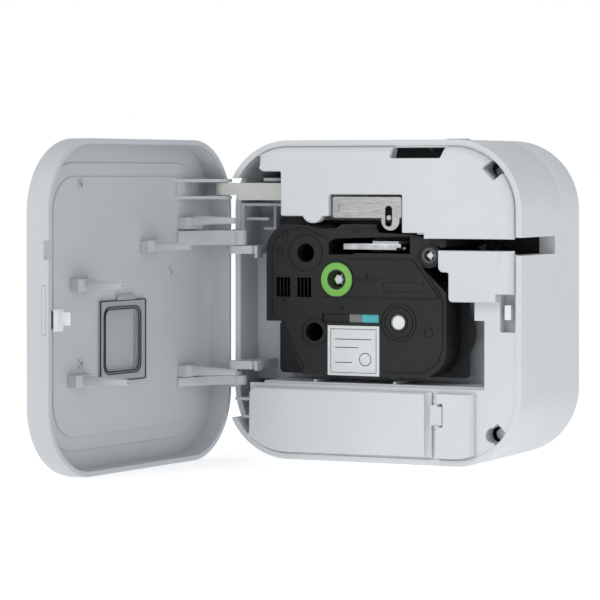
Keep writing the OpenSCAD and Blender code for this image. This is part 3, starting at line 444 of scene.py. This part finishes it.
clear = bpy.data.materials.new("window_clear")
clear.use_nodes = True
clear_tree = clear.node_tree
clear_shader = clear_tree.nodes["Principled BSDF"]
clear_shader.inputs["Base Color"].default_value = (0.55, 0.58, 0.6, 1)
clear_shader.inputs["Specular IOR Level"].default_value = 0.7
clear_shader.inputs["Transmission Weight"].default_value = 0.35
clear_place = clear_tree.nodes.new("ShaderNodeTexCoord")
clear_haze = clear_tree.nodes.new("ShaderNodeTexNoise")
clear_haze.inputs["Scale"].default_value = 90
clear_tree.links.new(clear_place.outputs["Object"], clear_haze.inputs["Vector"])
clear_rough = clear_tree.nodes.new("ShaderNodeMapRange")
clear_rough.inputs["To Min"].default_value = 0.08
clear_rough.inputs["To Max"].default_value = 0.24
clear_tree.links.new(clear_haze.outputs["Fac"], clear_rough.inputs["Value"])
clear_tree.links.new(clear_rough.outputs["Result"], clear_shader.inputs["Roughness"])
finish_node("door_window", clear)
flange_grey = plastic("window_flange", (0.36, 0.375, 0.39), (0.43, 0.445, 0.46), 0.2, 260, 0.00001, 0.65)
break_edges("window_frame", "window_flange_moulding", 0.0002, flange_grey)
seal_lines = bmesh.new()
for grow, radius in ((-0.5, 3.2), (0.5, 3.8), (3.3, 0.6)):
    left, low, right, high = 59.2 - grow * 1.25, 39 - grow, 84.5 + grow * 0.85, 65 + grow * 0.9
    ring = [(x, z) for x, z, _ in soft_corners([(left, low, radius, 1), (right, low, radius, 1),
                                                (right, high, radius, 1), (left, high, radius, 1)])]
    bead(seal_lines, ring + ring[:1], 0.55, -7.6, -7.1, on_door)
bmesh.ops.recalc_face_normals(seal_lines, faces=seal_lines.faces)
seal_piece = add_piece("window_seal_lines", seal_lines, dark_grey, "door")

# Link between the door and the roller holder: one flat ivory nylon bar.
finish_node("cover_link", ivory)

# Cassette: two black mouldings with raised lines, rings and dots on the face,
# a clear look at the tape and a plain paper label.
break_edges("cassette_top", "cassette_top_moulding", 0.0003, black_plastic)
break_edges("cassette_base", "cassette_base_moulding", 0.0003, black_plastic)

face_lines = bmesh.new()
for line in ([(21.2, 60), (21.2, 88), (23, 92), (28, 95.8), (36, 96.5), (47, 92)],
             [(26.5, 57.8), (30, 49), (36, 37.8)], [(44.5, 67.9), (98, 67.9)],
             [(56.5, 83.9), (85, 83.9), (97, 68)], [(87, 84.5), (97.5, 69)],
             [(58, 75.4), (70, 75.4)], [(98.2, 68), (98.2, 48), (96, 42), (90, 37.6), (72, 37.3)],
             [(60.5, 96), (67.3, 96.7)], [(29.5, 71.6), (32, 71.6)]):
    bead(face_lines, line, 0.7, 1.05, 0.5)
for x, z, radius in ((36.6, 86.2, 7.6), (40.9, 53.3, 5.8), (78.8, 57.9, 7.7), (78.8, 57.9, 6.2), (78.8, 57.9, 3.9),
                     (51, 75.2, 7.5), (92.4, 85.5, 4.6), (92, 54, 1.9), (59.5, 96, 1), (68.4, 96.7, 0.8),
                     (27, 94, 1.5), (24.7, 87, 1.5), (26.9, 66.3, 0.7), (64.3, 76.8, 0.7), (53.2, 63.4, 0.6)):
    bead(face_lines, loop(x, z, radius), 0.6, 1.05, 0.55)
plate_mark = [(72, 70.6), (90, 70.6), (90, 74.4), (72, 74.4), (72, 70.6)]
bead(face_lines, plate_mark, 0.5, 1.05, 0.76)
for x in (25, 26.6, 28.2, 34.4, 36, 37.6):
    bead(face_lines, [(x, 68), (x, 75.5)], 0.35, 1.6, 1.2)
bmesh.ops.recalc_face_normals(face_lines, faces=face_lines.faces)
lines_piece = add_piece("cassette_face_lines", face_lines, black_plastic, "cassette")

paper_white = plastic("label_paper", (0.66, 0.68, 0.68), (0.74, 0.76, 0.76), 0.55, 1300, 0.000008, 0.3)
finish_node("cassette_label", paper_white)
print_ink = plastic("label_ink", (0.03, 0.03, 0.035), (0.06, 0.06, 0.065), 0.6, 1500, 0.000004, 0.3)
label_print = bmesh.new()
for line in ([(48.4, 36.8), (68.9, 36.8), (68.9, 54.8), (48.4, 54.8), (48.4, 36.8)],
             [(50.4, 50.6), (66.8, 50.6)], [(50.4, 47.2), (61, 47.2)], [(50.4, 41), (58, 41)]):
    bead(label_print, line, 0.5, 0.92, 0.76)
bead(label_print, loop(64, 42.4, 2.6), 0.5, 0.92, 0.76)
bmesh.ops.recalc_face_normals(label_print, faces=label_print.faces)
label_piece = add_piece("label_print", label_print, print_ink, "cassette")

# Rolls and spools: tape on a grey core, teal ribbon film, a green take-up
# spool and the black output roller.
spool_green = plastic("spool_green", (0.17, 0.45, 0.075), (0.22, 0.54, 0.1), 0.35, 900, 0.00001, 0.5)
finish_node("take_up_spool", spool_green)
# A black ring round the take-up spindle: painted shade for the deep bore of the spool, not a part of its own.
bore_shade_ring = bmesh.new()
bead(bore_shade_ring, loop(50.8, 75.2, 3.7), 1.2, 2.4, 1.3)
bmesh.ops.recalc_face_normals(bore_shade_ring, faces=bore_shade_ring.faces)
bore_shade_piece = add_piece("take_up_bore_painted_shade", bore_shade_ring, black_plastic, "ribbon_take_up")
grey_plastic = plastic("grey_plastic", (0.2, 0.205, 0.21), (0.27, 0.275, 0.28), 0.42, 1300, 0.00002)
finish_node("roll_core", grey_plastic)
core_face = [(x, z, 0, 0.4) for x, z in loop(78.8, 57.9, 2.9, 32)[:-1]]
soft_plate("roll_core_cap", core_face, 1.1, 3.4, nylon, "roll_core", wall=0.8,
           stands_for=False)
tape_white = plastic("tape_white", (0.6, 0.61, 0.6), (0.72, 0.73, 0.72), 0.35, 520, 0.00001, 0.5)
finish_node("tape_roll", tape_white)
film_teal = plastic("film_teal", (0.05, 0.42, 0.46), (0.09, 0.56, 0.6), 0.24, 380, 0.00001, 0.6)
finish_node("film_spool", film_teal)
for strip, left, right, finish, slot in (("ribbon_web", 62, 69.9, film_teal, "film_teal"),
                                         ("tape_web", 56.4, 61.9, grey_plastic, "grey_plastic"),
                                         ("ribbon_leader", 44.5, 56.3, black_plastic, "black_plastic")):
    web = [(left, 57.5, 0.2, 0.1), (right, 57.5, 0.2, 0.1), (right, 61, 0.2, 0.1), (left, 61, 0.2, 0.1)]
    soft_plate(strip, web, 1.9, 2.3, finish, "cassette_top", wall=0.15, stands_for=False)
finish_node("ribbon_spool", film_teal)
finish_node("output_roller", rubber)

# The floor the machine stands on, the soft boxes round it and the camera.
bpy.ops.mesh.primitive_plane_add(size=900, location=(0, 0, 0))
floor = bpy.context.object
floor.name = "floor"
paper = bpy.data.materials.new("paper_floor")
paper.use_nodes = True
paper.node_tree.nodes["Principled BSDF"].inputs["Base Color"].default_value = (0.85, 0.85, 0.85, 1)
paper.node_tree.nodes["Principled BSDF"].inputs["Roughness"].default_value = 0.9
paper.node_tree.nodes["Principled BSDF"].inputs["Emission Color"].default_value = (1, 1, 1, 1)
paper.node_tree.nodes["Principled BSDF"].inputs["Emission Strength"].default_value = 0.5
floor.data.materials.append(paper)

world = bpy.data.worlds.new("studio")
bpy.context.scene.world = world
world.use_nodes = True
sky = world.node_tree
soft = sky.nodes["Background"]
soft.inputs["Color"].default_value = (0.94, 0.97, 1, 1)
soft.inputs["Strength"].default_value = 0.62
wall = sky.nodes.new("ShaderNodeBackground")
wall.inputs["Color"].default_value = (1, 1, 1, 1)
seen = sky.nodes.new("ShaderNodeLightPath")
both = sky.nodes.new("ShaderNodeMixShader")
sky.links.new(seen.outputs["Is Camera Ray"], both.inputs["Fac"])
sky.links.new(soft.outputs["Background"], both.inputs[1])
sky.links.new(wall.outputs["Background"], both.inputs[2])
sky.links.new(both.outputs["Shader"], sky.nodes["World Output"].inputs["Surface"])
bpy.context.scene.view_settings.view_transform = "Standard"


def soft_box(name, place, target, size, power):
    lamp = bpy.data.lights.new(name, "AREA")
    lamp.shape = "SQUARE"
    lamp.size = size
    lamp.energy = power
    box = bpy.data.objects.new(name, lamp)
    box.location = place
    aim = Vector(target) - Vector(place)
    box.rotation_euler = aim.to_track_quat("-Z", "Y").to_euler()
    bpy.context.collection.objects.link(box)


soft_box("key_light", (-0.55, -1.5, 1.1), (0, 0, 0.06), 0.9, 9)
soft_box("side_light", (1.7, -0.9, 0.9), (0, 0, 0.06), 1.0, 2.2)

camera_data = bpy.data.cameras.new("camera")
camera_data.sensor_width = 36
camera_data.lens = 172.44
camera_data.shift_y = -0.2093
camera = bpy.data.objects.new("camera", camera_data)
camera.location = (0.47588, -1.11964, 0.11878)
camera.rotation_euler = (math.radians(90), 0, math.radians(25.093))
bpy.context.collection.objects.link(camera)
bpy.context.scene.camera = camera
